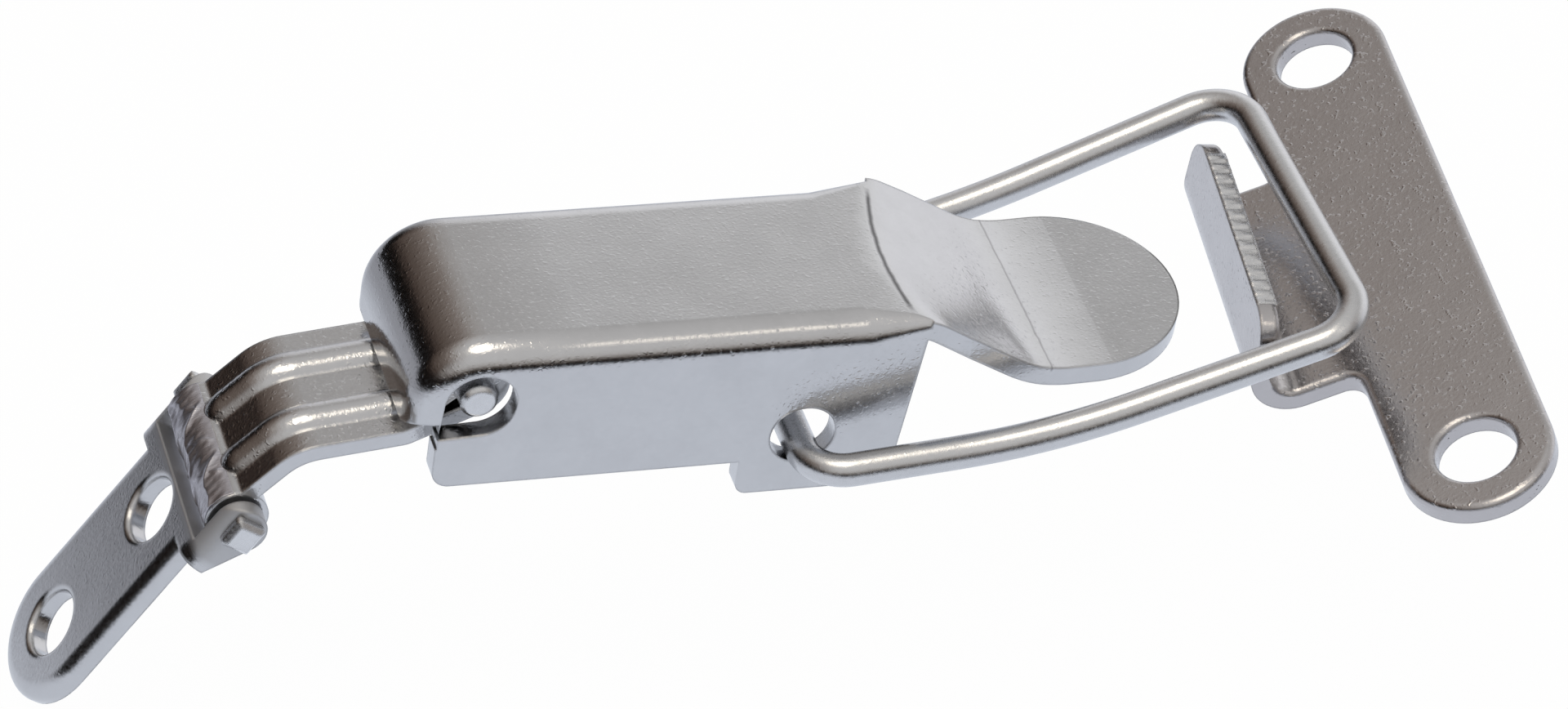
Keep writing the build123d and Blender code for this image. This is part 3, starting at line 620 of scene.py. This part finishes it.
def add_camera(place, azimuth, elevation, roll, lens):
    """Camera on a tripod at place, looking back along azimuth and elevation, rolled, all in degrees."""
    data = bpy.data.cameras.new("camera")
    data.lens, data.sensor_width, data.clip_end = lens, 36.0, 20.0
    camera = bpy.data.objects.new("camera", data)
    az, el, lean = np.radians([azimuth, elevation, roll])
    level = np.array([np.cos(az), np.sin(az), 0])
    back = np.array([np.sin(az) * np.cos(el), -np.cos(az) * np.cos(el), np.sin(el)])
    right = np.cos(lean) * level + np.sin(lean) * np.cross(back, level)
    turn = Matrix(np.stack([right, np.cross(back, right), back], 1).tolist())
    camera.matrix_world = Matrix.Translation(place) @ turn.to_4x4()
    bpy.context.scene.collection.objects.link(camera)
    bpy.context.scene.camera = camera


class OBJECT_OT_latch_stage(bpy.types.Operator):
    """Set the white card, the room around it, the lamps and the camera"""
    bl_idname = "object.latch_stage"
    bl_label = "Stage"

    def execute(self, context):
        scene = context.scene
        sizes = scene.latch_sizes
        scene.view_settings.view_transform = "Standard"
        half, z = sizes.card_half, CAD_BOX[0][2] - sizes.card_gap
        middle = (CAD_BOX[0][0] + CAD_BOX[1][0]) / 2
        corners = np.array([[middle - half, -half, z], [middle + half, -half, z],
                            [middle + half, half, z], [middle - half, half, z]])
        floor = new_object("floor", corners, np.array([[0, 1, 2, 3]]), smooth=False)
        floor.data.materials.append(white_card())

        dome = studio_dome("studio", sizes.room_radius)
        dome.data.materials.append(studio_walls(sizes.room_radius))
        dome.visible_camera = False
        dome.visible_shadow = False

        world = bpy.data.worlds.new("white_room")
        scene.world = world
        world.use_nodes = True
        world.node_tree.nodes.clear()
        back = add_node(world.node_tree, "ShaderNodeBackground", {"Color": (1, 1, 1, 1), "Strength": 1.0})
        add_node(world.node_tree, "ShaderNodeOutputWorld", {"Surface": back})

        add_lamp("top_lamp", (-0.20, -0.12, 0.97), size=0.45, power=1.8)
        add_lamp("side_lamp", (0.34, -0.42, 0.86), size=0.15, power=0.08)
        add_camera((-0.07785, -0.28909, 0.25576), azimuth=-22.57, elevation=38.13, roll=9.99, lens=133.47)
        return {"FINISHED"}


class VIEW3D_PT_latch(bpy.types.Panel):
    """Buttons and sizes for the toggle latch"""
    bl_label = "Toggle Latch"
    bl_idname = "VIEW3D_PT_latch"
    bl_space_type = "VIEW_3D"
    bl_region_type = "UI"
    bl_category = "Latch"

    def draw(self, context):
        layout = self.layout
        for operator in OPERATORS:
            layout.operator(operator.bl_idname)
        for group in (context.scene.latch_colours, context.scene.latch_sizes):
            column = layout.column()
            for prop in group.__annotations__:
                column.prop(group, prop)


OPERATORS = (OBJECT_OT_latch_stage, OBJECT_OT_latch_sheet, OBJECT_OT_latch_lever, OBJECT_OT_latch_wire,
             OBJECT_OT_latch_keeper, OBJECT_OT_latch_hinge_roll, OBJECT_OT_latch_hook_edge)
CLASSES = (LatchColours, LatchSizes, *OPERATORS, VIEW3D_PT_latch)


def register():
    for cls in CLASSES:
        bpy.utils.register_class(cls)
    bpy.types.Scene.latch_colours = bpy.props.PointerProperty(type=LatchColours)
    bpy.types.Scene.latch_sizes = bpy.props.PointerProperty(type=LatchSizes)


def unregister():
    del bpy.types.Scene.latch_sizes
    del bpy.types.Scene.latch_colours
    for cls in reversed(CLASSES):
        bpy.utils.unregister_class(cls)


def main():
    register()
    bpy.ops.object.latch_stage()
    bpy.ops.object.latch_sheet()
    bpy.ops.object.latch_lever()
    bpy.ops.object.latch_wire()
    bpy.ops.object.latch_keeper()
    bpy.ops.object.latch_hinge_roll()
    bpy.ops.object.latch_hook_edge()


if __name__ == "__main__":
    main()
